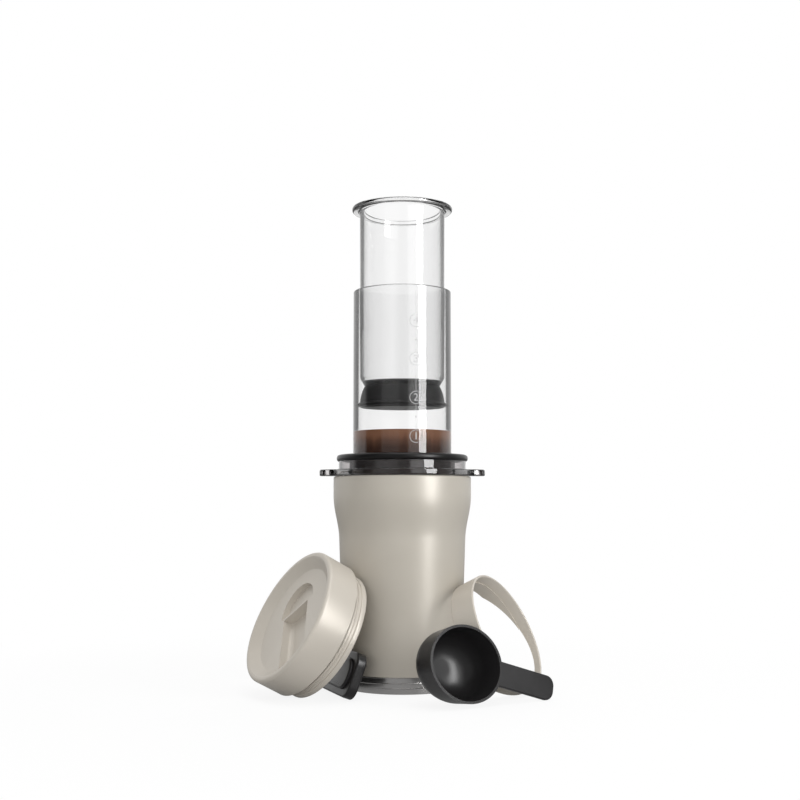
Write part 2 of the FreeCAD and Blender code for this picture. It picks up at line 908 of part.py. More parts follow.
def main():
    os.makedirs("parts", exist_ok=True)
    nodes = {
        "tumbler_shell": tumbler_shell(),
        "tumbler_liner": tumbler_liner(),
        "tumbler_base": tumbler_base(),
        "vacuum_cap": vacuum_cap(),
        "base_disc": base_disc(),
        "chamber_tube": chamber_tube(),
        "chamber_collar": chamber_collar(),
        "collar_gasket": collar_gasket(),
        "filter_cap": filter_cap(),
        "paper_filter": paper_filter(),
        "plunger_tube": plunger_tube(),
        "plunger_seal": plunger_seal(),
    }
    tumbler = shell_outline(0.0, rim_height).fuse(disc(shoulder_radius, 0, foot_height))

    lid_names = ["lid_cap", "lid_plug", "lid_seal", "lid_disc"]
    lid_shapes = [lid_cap(), lid_plug(), lid_seal(), lid_disc()]
    spot = stand(lid_shapes, face_frame(lid_facing_angle, lid_lean_angle), lid_x, lid_start_y)
    spot = lean_on([lid_shapes[0], lid_shapes[1]], spot, tumbler, Vector(0, 1, 0))
    print("lid origin", spot.Base)
    for name, shape in zip(lid_names, moved(lid_shapes, spot)):
        nodes[name] = shape

    ring = [base_ring()]
    spot = stand(ring, face_frame(ring_facing_angle, ring_lean_angle), ring_x, ring_start_y)
    spot = lean_on(ring, spot, tumbler, Vector(0, 1, 0))
    print("ring origin", spot.Base)
    nodes["base_ring"] = moved(ring, spot)[0]

    frame = face_frame(scoop_facing_angle, scoop_lean_angle)
    frame = frame.multiply(Rotation(Vector(0, 0, 1), scoop_roll_angle))
    bowl = [scoop()]
    spot = stand(bowl, frame, scoop_x, scoop_start_y)
    spot = lean_on(bowl, spot, nodes["base_ring"], Vector(0, 1, 0))
    print("scoop origin", spot.Base)
    nodes["scoop"] = moved(bowl, spot)[0]

    case_names = ["case_body", "case_cover", "filter_stack"]
    case_shapes = [case_body(), case_cover(), filter_stack()]
    spot = stand(case_shapes, case_frame(), case_start_x, case_start_y)
    spot = lean_on([case_shapes[0]], spot, tumbler, case_way())
    print("case origin", spot.Base)
    for name, shape in zip(case_names, moved(case_shapes, spot)):
        nodes[name] = shape

    for name, shape in nodes.items():
        write(name, shape)
    seal_bottom = seal_top - seal_height
    print("plunger travel down", seal_bottom - paper_bottom - paper_thickness - stroke_clearance)
    print("chamber mouth above the lip", chamber_top - (seal_top - seal_lip_drop))


main()
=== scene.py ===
import logging
import math
from dataclasses import dataclass, field
from enum import Enum
from typing import Any, Dict, Iterable, List, Mapping, Optional, Sequence, Tuple, Union

import bmesh
import bpy
from mathutils import Matrix, Vector
from mathutils.geometry import interpolate_bezier


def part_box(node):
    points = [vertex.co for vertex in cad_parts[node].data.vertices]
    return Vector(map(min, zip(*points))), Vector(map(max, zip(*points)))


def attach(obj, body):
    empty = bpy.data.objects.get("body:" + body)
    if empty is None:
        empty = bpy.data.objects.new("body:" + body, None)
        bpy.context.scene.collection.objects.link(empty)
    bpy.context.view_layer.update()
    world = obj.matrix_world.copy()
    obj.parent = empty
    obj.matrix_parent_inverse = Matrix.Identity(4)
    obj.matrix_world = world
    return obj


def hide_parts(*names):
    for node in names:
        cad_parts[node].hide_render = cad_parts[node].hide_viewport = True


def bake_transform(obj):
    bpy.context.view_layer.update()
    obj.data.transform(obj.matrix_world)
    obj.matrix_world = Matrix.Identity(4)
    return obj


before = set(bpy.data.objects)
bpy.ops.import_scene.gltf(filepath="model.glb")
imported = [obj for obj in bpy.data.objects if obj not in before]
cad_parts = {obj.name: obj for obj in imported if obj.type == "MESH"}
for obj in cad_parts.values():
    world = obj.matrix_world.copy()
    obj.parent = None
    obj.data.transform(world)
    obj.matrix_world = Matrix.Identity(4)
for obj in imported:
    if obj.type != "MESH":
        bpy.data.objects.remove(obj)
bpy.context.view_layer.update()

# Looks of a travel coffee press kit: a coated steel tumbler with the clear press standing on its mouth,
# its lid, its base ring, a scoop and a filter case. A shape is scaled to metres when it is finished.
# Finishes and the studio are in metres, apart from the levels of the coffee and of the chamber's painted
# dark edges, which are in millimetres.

LOG = logging.getLogger("coffee_press")
MM = 0.001
ROUND_STEPS = 192
CORNER_SEGMENTS = 6
MERGE_DISTANCE = 0.000002
CREASE_ANGLE = math.radians(32.0)
SIDE_FACING = 0.3
RIM_FACING = 0.1
RIDGE_FADE = 1.0 / 16.0
RIDGE_TIP = 0.05
COFFEE_LEVEL = 167.5

Colour = Tuple[float, float, float]
Corner = Tuple[float, ...]
Shape = bmesh.types.BMesh
Value = Union["Signal", float, Sequence[float]]
Key = Union[int, str]


class Body(Enum):
    """Bodies of the frame that a piece can ride on."""

    TUMBLER = "tumbler"
    PRESS = "press"
    CAP = "cap"
    PLUNGER = "plunger"
    LID = "lid"
    RING = "ring"
    SCOOP = "scoop"
    CASE = "case"
    COVER = "cover"


class Slot(Enum):
    """Material slots of the record."""

    POWDER_COAT = "powder_coat"
    BARE_STEEL = "bare_steel"
    CLEAR_PLASTIC = "clear_plastic"
    SMOKE_PLASTIC = "smoke_plastic"
    BLACK_RUBBER = "black_rubber"
    BLACK_PLASTIC = "black_plastic"
    FILTER_PAPER = "filter_paper"
    BEIGE_PLASTIC = "beige_plastic"
    CLEAR_SILICONE = "clear_silicone"


class Signal:
    """A shader socket that takes part in Python arithmetic."""

    def __init__(self, graph: "Graph", socket: bpy.types.NodeSocket) -> None:
        """Keep the graph and the output socket that carries the value."""
        self.graph = graph
        self.socket = socket

    def _maths(self, operation: str, first: Value, second: Value) -> "Signal":
        """Result of one Math node on two values."""
        return self.graph.node("ShaderNodeMath", {"operation": operation}, {0: first, 1: second})

    def __add__(self, other: Value) -> "Signal":
        """Sum with a number or signal."""
        return self._maths("ADD", self, other)

    def __radd__(self, other: Value) -> "Signal":
        """Sum with a number on the left."""
        return self._maths("ADD", other, self)

    def __sub__(self, other: Value) -> "Signal":
        """Difference to a number or signal."""
        return self._maths("SUBTRACT", self, other)

    def __rsub__(self, other: Value) -> "Signal":
        """Difference of a number on the left and this signal."""
        return self._maths("SUBTRACT", other, self)

    def __mul__(self, other: Value) -> "Signal":
        """Product with a number or signal."""
        return self._maths("MULTIPLY", self, other)

    def __rmul__(self, other: Value) -> "Signal":
        """Product with a number on the left."""
        return self._maths("MULTIPLY", other, self)

    def __neg__(self) -> "Signal":
        """The signal with its sign turned."""
        return self._maths("MULTIPLY", self, -1.0)

    def at_most(self, other: Value) -> "Signal":
        """The smaller of this signal and another value."""
        return self._maths("MINIMUM", self, other)

    def arctan2(self, other: Value) -> "Signal":
        """Angle whose tangent is this signal over another."""
        return self._maths("ARCTAN2", self, other)

    def length_with(self, other: "Signal") -> "Signal":
        """Root of the sum of two squares."""
        return self._maths("SQRT", self * self + other * other, 0.0)

    def also(self, output: Key) -> "Signal":
        """Another output of the node that this signal comes from."""
        return Signal(self.graph, self.socket.node.outputs[output])


class Graph:
    """A node tree that is written as Python calls."""

    def __init__(self, tree: bpy.types.NodeTree) -> None:
        """Start with an emptied tree of a material or of the world."""
        self.tree = tree
        tree.nodes.clear()

    def node(self, kind: str, settings: Optional[Mapping[str, Any]] = None,
             inputs: Optional[Mapping[Key, Value]] = None, output: Key = 0) -> Signal:
        """Add a node.

        Args:
            kind: Blender's node type.
            settings: Attributes of the node, or a colour ramp's stops, set before its inputs.
            inputs: Values or signals by socket.
            output: Socket that the returned signal reads.

        Returns:
            The chosen output.
        """
        made = self.tree.nodes.new(kind)
        for name, value in (settings or {}).items():
            if name == "stops":
                self._set_stops(made.color_ramp, value)
            else:
                setattr(made, name, value)
        for name, value in (inputs or {}).items():
            socket = made.inputs[name]
            if isinstance(value, Signal):
                self.tree.links.new(value.socket, socket)
            elif isinstance(value, (tuple, list)) and len(value) == 3 and socket.type == "RGBA":
                socket.default_value = (*value, 1.0)
            else:
                socket.default_value = value
        return Signal(self, made.outputs[output])

    @staticmethod
    def _set_stops(ramp: bpy.types.ColorRamp, stops: Sequence[Tuple[float, Colour]]) -> None:
        """Give a colour ramp its stops.

        Args:
            ramp: The ramp.
            stops: Positions from 0 to 1 with their colours.
        """
        while len(ramp.elements) < len(stops):
            ramp.elements.new(1.0)
        for element, (position, colour) in zip(ramp.elements, stops):
            element.position = position
            element.color = (*colour, 1.0)

    def place(self) -> Signal:
        """Object coordinates, in metres."""
        return self.node("ShaderNodeTexCoord", output="Object")

    def noise(self, place: Signal, scale: float, detail: float = 2.0, roughness: float = 0.5) -> Signal:
        """Soft noise from 0 to 1 at a scale per metre."""
        sockets = {"Vector": place, "Scale": scale, "Detail": detail, "Roughness": roughness}
        return self.node("ShaderNodeTexNoise", {}, sockets)

    def split(self, vector: Signal) -> Tuple[Signal, Signal, Signal]:
        """The three parts of a vector."""
        across = self.node("ShaderNodeSeparateXYZ", {}, {0: vector}, "X")
        return across, across.also("Y"), across.also("Z")

    def join(self, across: Value, along: Value, upward: Value) -> Signal:
        """A vector from three values."""
        return self.node("ShaderNodeCombineXYZ", {}, {0: across, 1: along, 2: upward})

    def blend(self, factor: Value, first: Value, second: Value) -> Signal:
        """A colour between two colours."""
        return self.node("ShaderNodeMix", {"data_type": "RGBA"}, {0: factor, 6: first, 7: second}, 2)

    def span(self, value: Signal, low: float, high: float, from_value: float = 0.0,
             to_value: float = 1.0) -> Signal:
        """Map a range of a signal smoothly onto another range."""
        sockets = {0: value, 1: low, 2: high, 3: from_value, 4: to_value}
        return self.node("ShaderNodeMapRange", {"interpolation_type": "SMOOTHSTEP"}, sockets)

    def bump(self, height: Signal, lift: float, strength: float = 1.0) -> Signal:
        """Normal that is tilted by a height, whose full range lifts the surface by lift metres."""
        sockets = {"Height": height, "Distance": lift, "Strength": strength}
        return self.node("ShaderNodeBump", {}, sockets)

    def principled(self, sockets: Mapping[str, Value]) -> Signal:
        """The general surface shader."""
        return self.node("ShaderNodeBsdfPrincipled", {}, sockets)

    def mix(self, factor: Value, first: Signal, second: Signal) -> Signal:
        """A shader between two shaders."""
        return self.node("ShaderNodeMixShader", {}, {0: factor, 1: first, 2: second})

    def see_through(self, tint: Colour, roughness: float, index: float) -> Signal:
        """A tinted body that refracts light."""
        return self.principled({"Base Color": tint, "Roughness": roughness, "IOR": index,
                                "Transmission Weight": 1.0})

    def opened(self, shader: Signal, share: float) -> Signal:
        """A shader that shadow rays and soft light pass straight through, dimmed to share."""
        open_way = self.node("ShaderNodeBsdfTransparent", {}, {"Color": (share,) * 3})
        return self.mix(self.ray("Shadow", "Diffuse"), shader, open_way)

    def ray(self, *kinds: str) -> Signal:
        """Whether the ray is of any of some kinds.

        Args:
            kinds: Names of the kinds.

        Returns:
            One for such a ray, else nought.
        """
        path = self.node("ShaderNodeLightPath", output=f"Is {kinds[0]} Ray")
        total = path
        for kind in kinds[1:]:
            total = total + path.also(f"Is {kind} Ray")
        return total.at_most(1.0)

    def surface(self, shader: Signal) -> None:
        """Send a shader to the material's output."""
        self.node_sink("ShaderNodeOutputMaterial", shader)

    def node_sink(self, kind: str, shader: Signal) -> None:
        """Send a shader to an output node of a kind."""
        sink = self.tree.nodes.new(kind)
        self.tree.links.new(shader.socket, sink.inputs["Surface"])


@dataclass(frozen=True)
class Finish:
    """A surface finish, which holds a material slot; each kind writes its own shader."""

    name: str
    slot: Optional[Slot] = field(default=None, kw_only=True)

    def shader(self, graph: Graph) -> Signal:
        """Write the finish into a graph and return its shader."""
        raise NotImplementedError

    def material(self) -> bpy.types.Material:
        """Make the material of this finish, once.

        Returns:
            The material.
        """
        made = bpy.data.materials.get(self.name)
        if made is None:
            made = bpy.data.materials.new(self.name)
            made.use_nodes = True
            graph = Graph(made.node_tree)
            graph.surface(self.shader(graph))
        return made


def shaded(colour: Colour, share: float) -> Colour:
    """A colour with each of its parts times a share."""
    return tuple(part * share for part in colour)


@dataclass(frozen=True)
class PearlCoat(Finish):
    """Pearly powder coat with a fine orange peel."""

    colour: Colour
    shade: Colour
    roughness: float = 0.36
    metal: float = 0.06
    gloss: float = 0.32
    cloud_scale: float = 22.0
    cloud_low: float = 0.35
    cloud_high: float = 0.65
    flake_scale: float = 5000.0
    flake_share: float = 0.4
    flake_dulling: float = 0.12
    peel_scale: float = 900.0
    peel_lift: float = 0.000007

    def shader(self, graph: Graph) -> Signal:
        """Cloudy colour, flecked roughness and a peeled surface.

        Args:
            graph: Graph to write in.

        Returns:
            The shader.
        """
        place = graph.place()
        cloud = graph.noise(place, self.cloud_scale, detail=3.0)
        flake = graph.noise(place, self.flake_scale, detail=1.0)
        peel = graph.noise(place, self.peel_scale)
        clouded = graph.span(cloud, self.cloud_low, self.cloud_high) * (1.0 - self.flake_share)
        return graph.principled({
            "Base Color": graph.blend(clouded + flake * self.flake_share, self.shade, self.colour),
            "Metallic": self.metal,
            "Roughness": self.roughness + (flake - 0.5) * self.flake_dulling,
            "Normal": graph.bump(peel, self.peel_lift),
            "Specular IOR Level": self.gloss,
        })


@dataclass(frozen=True)
class MouldedPlastic(Finish):
    """Moulded plastic or rubber with a fine spark-eroded grain and slight rub marks."""

    colour: Colour
    roughness: float = 0.32
    gloss: float = 0.36
    grain_scale: float = 2200.0
    grain_lift: float = 0.000008
    mottle: float = 0.08
    rub_scale: float = 60.0
    rub_dulling: float = 0.1

    def shader(self, graph: Graph) -> Signal:
        """Slightly uneven colour and roughness with a fine grain.

        Args:
            graph: Graph to write in.

        Returns:
            The shader.
        """
        place = graph.place()
        grain = graph.noise(place, self.grain_scale)
        rub = graph.noise(place, self.rub_scale, detail=3.0)
        return graph.principled({
            "Base Color": graph.blend(rub, shaded(self.colour, 1.0 - self.mottle), self.colour),
            "Roughness": self.roughness + (rub - 0.5) * self.rub_dulling,
            "Normal": graph.bump(grain, self.grain_lift),
            "Specular IOR Level": self.gloss,
        })


@dataclass(frozen=True)
class TurnedSteel(Finish):
    """Bare steel with fine lines that run round the upright axis."""

    colour: Colour = (0.56, 0.55, 0.54)
    roughness: float = 0.24
    line_scale: float = 4500.0
    line_lift: float = 0.000004
    line_dulling: float = 0.16
    stain_scale: float = 45.0
    stain_shade: float = 0.86
    stain_dulling: float = 0.06

    def shader(self, graph: Graph) -> Signal:
        """Metal with turning lines in its roughness and relief.

        Args:
            graph: Graph to write in.

        Returns:
            The shader.
        """
        place = graph.place()
        across, along, upward = graph.split(place)
        round_axis = graph.join(across.length_with(along), 0.0, upward)
        lines = graph.noise(round_axis, self.line_scale, detail=3.0, roughness=0.6)
        stain = graph.noise(place, self.stain_scale, detail=3.0)
        dulling = (lines - 0.5) * self.line_dulling + (stain - 0.5) * self.stain_dulling
        return graph.principled({
            "Base Color": graph.blend(stain, shaded(self.colour, self.stain_shade), self.colour),
            "Metallic": 1.0,
            "Roughness": self.roughness + dulling,
            "Normal": graph.bump(lines, self.line_lift),
        })


@dataclass(frozen=True)
class ClearPlastic(Finish):
    """Clear plastic that lets light through to what is behind it.

    Where a wall is seen at a low angle a dark glossy shader is mixed in, up to a share: painted dark edges
    that stand in for the dark refraction of thick clear walls. Below edge_start, in millimetres, the wall
    takes the colour of what fills it and has no painted dark edge.
    """

    tint: Colour = (0.995, 0.995, 0.995)
    index: float = 1.49
    shadow_share: float = 0.95
    painted_edge_tone: Colour = (0.035, 0.034, 0.034)
    edge_roughness: float = 0.05
    painted_edge_share: float = 0.0
    edge_from: float = 0.52
    edge_full: float = 0.58
    edge_start: float = 0.0
    edge_easing: float = 1.6

    def shader(self, graph: Graph) -> Signal:
        """Refracting body with painted dark edges that casts only a faint shadow.

        Args:
            graph: Graph to write in.

        Returns:
            The shader.
        """
        clear = graph.see_through(self.tint, 0.0, self.index)
        if self.painted_edge_share > 0.0:
            # Painted dark edges: a dark glossy shader mixed in where the wall is seen at a low angle,
            # standing in for dark refraction.
            edge = graph.principled({"Base Color": self.painted_edge_tone, "Roughness": self.edge_roughness,
                                     "IOR": self.index})
            facing = graph.node("ShaderNodeLayerWeight", {}, {"Blend": 0.5}, "Facing")
            share = graph.span(facing, self.edge_from, self.edge_full, 0.0, self.painted_edge_share)
            front = 1.0 - graph.node("ShaderNodeNewGeometry", output="Backfacing")
            upward = graph.split(graph.place())[2]
            empty = graph.span(upward, self.edge_start * MM, (self.edge_start + self.edge_easing) * MM)
            clear = graph.mix(share * front * empty, clear, edge)
        return graph.opened(clear, self.shadow_share)


@dataclass(frozen=True)
class SmokePlastic(Finish):
    """Dark see-through plastic."""

    tint: Colour = (0.74, 0.72, 0.72)
    roughness: float = 0.015
    index: float = 1.5
    shadow_share: float = 0.6

    def shader(self, graph: Graph) -> Signal:
        """Tinted refracting body that dims the light behind it."""
        smoke = graph.see_through(self.tint, self.roughness, self.index)
        return graph.opened(smoke, self.shadow_share)


@dataclass(frozen=True)
class Brew(Finish):
    """Coffee whose colour is painted light and shade: lighter red-brown near its surface, where light comes
    in from above, darker below, where less light reaches, with faint streaks.
    """

    top: Colour = (0.190, 0.088, 0.050)
    middle: Colour = (0.085, 0.040, 0.024)
    deep: Colour = (0.038, 0.017, 0.011)
    top_level: float = COFFEE_LEVEL
    deep_level: float = 153.0
    middle_full: float = 0.5
    top_from: float = 0.4
    roughness: float = 0.12
    gloss: float = 0.1
    streak_scale: float = 260.0
    streak_rise: float = 30.0
    streak_reach: float = 0.008

    def shader(self, graph: Graph) -> Signal:
        """Glossy liquid whose colour follows height as painted light and shade, with upright streaks.

        Args:
            graph: Graph to write in.

        Returns:
            The shader.
        """
        across, along, upward = graph.split(graph.place())
        stretched = graph.join(across * self.streak_scale, along * self.streak_scale,
                               upward * self.streak_rise)
        streaks = graph.noise(stretched, 1.0, detail=3.0)
        uneven = upward + (streaks - 0.5) * self.streak_reach
        # Painted light and shade: the colour is lighter towards the top and darker lower down.
        level = graph.span(uneven, self.deep_level * MM, self.top_level * MM)
        lower = graph.blend(graph.span(level, 0.0, self.middle_full), self.deep, self.middle)
        return graph.principled({
            "Base Color": graph.blend(graph.span(level, self.top_from, 1.0), lower, self.top),
            "Roughness": self.roughness,
            "Specular IOR Level": self.gloss,
        })


@dataclass(frozen=True)
class FibrePaper(Finish):
    """Thin filter paper with a soft fibre relief."""

    colour: Colour = (0.78, 0.74, 0.67)
    fibre_shade: float = 0.88
    roughness: float = 0.85
    fibre_scale: float = 1800.0
    fibre_dulling: float = 0.1
    crepe_scale: float = 420.0
    crepe_share: float = 0.7
    lift: float = 0.00006

    def shader(self, graph: Graph) -> Signal:
        """Matt paper with fibres.

        Args:
            graph: Graph to write in.

        Returns:
            The shader.
        """
        place = graph.place()
        fibres = graph.noise(place, self.fibre_scale, detail=4.0, roughness=0.7)
        crepe = graph.noise(place, self.crepe_scale)
        relief = crepe * self.crepe_share + fibres * (1.0 - self.crepe_share)
        return graph.principled({
            "Base Color": graph.blend(fibres, shaded(self.colour, self.fibre_shade), self.colour),
            "Roughness": self.roughness + (fibres - 0.5) * self.fibre_dulling,
            "Normal": graph.bump(relief, self.lift),
        })


@dataclass(frozen=True)
class LevelInk(Finish):
    """Thin light print on the clear chamber."""

    colour: Colour = (0.61, 0.61, 0.61)
    roughness: float = 0.5
    cover: float = 0.88
    wear: float = 0.12
    wear_scale: float = 700.0

    def shader(self, graph: Graph) -> Signal:
        """Slightly open ink with a worn cover.

        Args:
            graph: Graph to write in.

        Returns:
            The shader.
        """
        worn = (graph.noise(graph.place(), self.wear_scale, detail=3.0) - 0.5) * self.wear
        return graph.principled({"Base Color": self.colour, "Roughness": self.roughness,
                                 "Alpha": self.cover + worn})


@dataclass(frozen=True)
class PaleFloor(Finish):
    """Pale floor that keeps a soft shadow near the object and is plain white further out.

    Light that has met a mirror sees it dimmed to mirror_glow.
    """

    glow: float = 0.88
    seen_tone: float = 0.12
    soft_tone: float = 0.45
    mirror_glow: float = 0.35
    shadow_from: float = 0.16
    shadow_to: float = 0.42

    def shader(self, graph: Graph) -> Signal:
        """Glowing floor to the eye and a grey one to soft light.

        Args:
            graph: Graph to write in.

        Returns:
            The shader.
        """
        across, along, _ = graph.split(graph.place())
        far = graph.span(across.length_with(along), self.shadow_from, self.shadow_to)
        bounced = graph.node("ShaderNodeLightPath", output="Glossy Depth").at_most(1.0)
        dim = bounced * (self.mirror_glow - 1.0) + 1.0
        glow = graph.node("ShaderNodeEmission", {}, {"Strength": dim * self.glow})
        soft = graph.node("ShaderNodeBsdfDiffuse", {}, {"Color": (self.soft_tone,) * 3})
        seen = graph.node("ShaderNodeBsdfDiffuse", {}, {"Color": (self.seen_tone,) * 3})
        near = graph.node("ShaderNodeAddShader", {}, {0: glow, 1: seen})
        white = graph.node("ShaderNodeEmission", {}, {"Strength": dim})
        return graph.mix(graph.ray("Camera", "Glossy", "Transmission"), soft, graph.mix(far, near, white))


POWDER_COAT = PearlCoat("pearl_coat", (0.535, 0.500, 0.440), (0.500, 0.465, 0.405), slot=Slot.POWDER_COAT)
BEIGE_PLASTIC = PearlCoat("pearl_plastic", (0.590, 0.548, 0.485), (0.560, 0.518, 0.455), roughness=0.34,
                          gloss=0.22, slot=Slot.BEIGE_PLASTIC)
BARE_STEEL = TurnedSteel("turned_steel", slot=Slot.BARE_STEEL)
CLEAR_PLASTIC = ClearPlastic("clear_bore", slot=Slot.CLEAR_PLASTIC)
# Clear walls with painted dark edges; the chamber's rounded rim takes a painted dark line.
CLEAR_CHAMBER = ClearPlastic("clear_chamber", painted_edge_share=0.90, edge_start=COFFEE_LEVEL)
CLEAR_PLUNGER = ClearPlastic("clear_plunger", painted_edge_share=0.55, edge_from=0.64, edge_full=0.70)
CLEAR_RIM = ClearPlastic("clear_rim", painted_edge_share=0.80, edge_from=0.05, edge_full=0.50)
SMOKE_PLASTIC = SmokePlastic("smoke_wall", slot=Slot.SMOKE_PLASTIC)
BLACK_RUBBER = MouldedPlastic("moulded_rubber", (0.0065, 0.0062, 0.0064), gloss=0.24, grain_scale=1500.0,
                              grain_lift=0.00001, slot=Slot.BLACK_RUBBER)
BLACK_PLASTIC = MouldedPlastic("moulded_black", (0.018, 0.0172, 0.0178), slot=Slot.BLACK_PLASTIC)
SILICONE = MouldedPlastic("milky_silicone", (0.56, 0.53, 0.47), roughness=0.45, grain_scale=900.0,
                          mottle=0.1, slot=Slot.CLEAR_SILICONE)
COFFEE = Brew("coffee")
COFFEE_TOP = Brew("coffee_top", (0.050, 0.024, 0.014), (0.040, 0.018, 0.011), gloss=0.6)
FILTER_PAPER = FibrePaper("fibre_paper", slot=Slot.FILTER_PAPER)
LEVEL_INK = LevelInk("level_ink")
FLOOR = PaleFloor("studio_floor")


def box_of(node: str) -> Tuple[Vector, Vector]:
    """Lowest and highest corners of a node at rest, in millimetres."""
    low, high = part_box(node)
    return low / MM, high / MM


def round_corner(shape: Shape, corner: bmesh.types.BMVert, radius: float) -> None:
    """Round one corner of a wire.

    Args:
        shape: Mesh that holds the wire.
        corner: Vertex with two edges.
        radius: Radius of the arc.
    """
    ways = [(edge.other_vert(corner).co - corner.co) for edge in corner.link_edges]
    reach = radius / math.tan(ways[0].angle(ways[1]) / 2.0)
    bmesh.ops.bevel(shape, geom=[corner], offset=reach, offset_type="OFFSET", segments=CORNER_SEGMENTS,
                    profile=0.5, affect="VERTICES", material=-1)


def to_metres(shape: Shape) -> Shape:
    """Weld a shape made in millimetres, turn its faces outwards and scale it.

    Args:
        shape: The shape, which is changed.

    Returns:
        The same shape, in metres.
    """
    bmesh.ops.remove_doubles(shape, verts=shape.verts, dist=MERGE_DISTANCE / MM)
    bmesh.ops.recalc_face_normals(shape, faces=shape.faces)
    bmesh.ops.scale(shape, vec=(MM, MM, MM), verts=shape.verts)
    return shape


def spun(corners: Sequence[Corner], closed: bool = False, steps: int = ROUND_STEPS) -> Shape:
    """Turn an outline about the upright axis.

    Args:
        corners: Points as (radius, height) or (radius, height, rounding).
        closed: Whether the outline returns to its first point; else both ends lie on the axis.
        steps: Facets in a full turn.

    Returns:
        The turned shape, in metres.
    """
    shape = bmesh.new()
    spots = [shape.verts.new((corner[0], 0.0, corner[1])) for corner in corners]
    for first, second in zip(spots, spots[1:]):
        shape.edges.new((first, second))
    if closed:
        shape.edges.new((spots[-1], spots[0]))
    for spot, corner in zip(spots, corners):
        if len(corner) > 2:
            round_corner(shape, spot, corner[2])
    bmesh.ops.spin(shape, geom=shape.verts[:] + shape.edges[:], cent=(0, 0, 0), axis=(0, 0, 1),
                   angle=2.0 * math.pi, steps=steps, use_merge=True)
    return to_metres(shape)


def curve_points(start: Corner, start_pull: Corner, end_pull: Corner, end: Corner,
                 count: int) -> List[Corner]:
    """A number of points of a Bezier curve, from its start to its end, as (radius, height)."""
    handles = [Vector((spot[0], spot[1], 0.0)) for spot in (start, start_pull, end_pull, end)]
    return [(spot.x, spot.y) for spot in interpolate_bezier(*handles, count)]


def merged_copy(node: str) -> Shape:
    """Welded copy of a node's mesh.

    Args:
        node: Name of the node.

    Returns:
        The copy, in metres.
    """
    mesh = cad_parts[node].data.copy()
    for attribute in ("custom_normal", "sharp_face", "sharp_edge"):
        if attribute in mesh.attributes:
            mesh.attributes.remove(mesh.attributes[attribute])
    shape = bmesh.new()
    shape.from_mesh(mesh)
    bpy.data.meshes.remove(mesh)
    bmesh.ops.remove_doubles(shape, verts=shape.verts, dist=MERGE_DISTANCE)
    for face in shape.faces:
        face.material_index = 0
    return shape


def make_object(name: str, shape: Shape, finishes: Sequence[Finish]) -> bpy.types.Object:
    """Turn a finished shape into an object of the scene.

    Args:
        name: Name of the object.
        shape: Finished shape in metres; it is freed.
        finishes: Finishes by material index.

    Returns:
        The new object.
    """
    mesh = bpy.data.meshes.new(name)
    shape.to_mesh(mesh)
    shape.free()
    for finish in finishes:
        mesh.materials.append(finish.material())
    mesh.shade_smooth()
    mesh.set_sharp_from_angle(angle=CREASE_ANGLE)
    made = bpy.data.objects.new(name, mesh)
    bpy.context.scene.collection.objects.link(made)
    LOG.info("%s: %d faces", name, len(mesh.polygons))
    return made


def make_piece(name: str, shape: Shape, finishes: Sequence[Finish], body: Body,
               node: Optional[str] = None) -> None:
    """Turn a finished shape into a piece that rides on the frame.

    Args:
        name: Name of the piece.
        shape: Finished shape in metres; it is freed.
        finishes: Finishes by material index.
        body: Body that it rides on.
        node: Node that it stands for, if any.
    """
    piece = make_object(name, shape, finishes)
    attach(piece, body.value)
    if node is not None:
        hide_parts(node)


def dressed_copy(name: str, node: str, finish: Finish, body: Body) -> None:
    """Make a piece that stands for a node in its own form, welded so that its curves shade smoothly."""
    make_piece(name, merged_copy(node), [finish], body, node)


def dress_nodes(finish: Finish, nodes: Iterable[str]) -> None:
    """Give a finish to nodes that stay as they are.

    Args:
        finish: The finish.
        nodes: Names of the nodes.
    """
    for node in nodes:
        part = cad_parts[node]
        if not part.material_slots:
            part.data.materials.append(None)
        for slot in part.material_slots:
            slot.material = finish.material()


def add_curve(shape: Shape, curve: bpy.types.Curve, height: float = 0.0) -> None:
    """Add the mesh of a curve or a text to a shape.

    Args:
        shape: Shape that takes the mesh.
        curve: Curve or text; it is removed.
        height: How far the mesh is moved along Y.
    """
    holder = bpy.data.objects.new(curve.name, curve)
    mesh = bpy.data.meshes.new_from_object(holder)
    mesh.transform(Matrix.Translation((0.0, height, 0.0)))
    shape.from_mesh(mesh)
    bpy.data.meshes.remove(mesh)
    bpy.data.objects.remove(holder)
    bpy.data.curves.remove(curve)


def helix_ridge(radius: float, bottom: float, rise: float, start: float, turns: float,
                thickness: float) -> Shape:
    """Rounded thread ridge that fades out at both ends.

    Args:
        radius: Radius of the ridge's middle line.
        bottom: Height of its start.
        rise: How far it climbs in one turn.
        start: Bearing of its start, anticlockwise from +X.
        turns: How many turns it makes.
        thickness: Radius of its section.

    Returns:
        The ridge, in metres.
    """
    steps = int(ROUND_STEPS * turns)
    line = bpy.data.curves.new("ridge_line", "CURVE")
    line.dimensions = "3D"
    line.bevel_depth = thickness
    line.bevel_resolution = 3
    line.use_fill_caps = True
    spline = line.splines.new("POLY")
    spline.points.add(steps)
    fade = ROUND_STEPS * RIDGE_FADE
    for step, point in enumerate(spline.points):
        angle = math.radians(start) + 2.0 * math.pi * step / ROUND_STEPS
        height = bottom + rise * step / ROUND_STEPS
        point.co = (radius * math.cos(angle), radius * math.sin(angle), height, 1.0)
        point.radius = max(RIDGE_TIP, min(1.0, step / fade, (steps - step) / fade))
    shape = bmesh.new()
    add_curve(shape, line)
    return to_metres(shape)


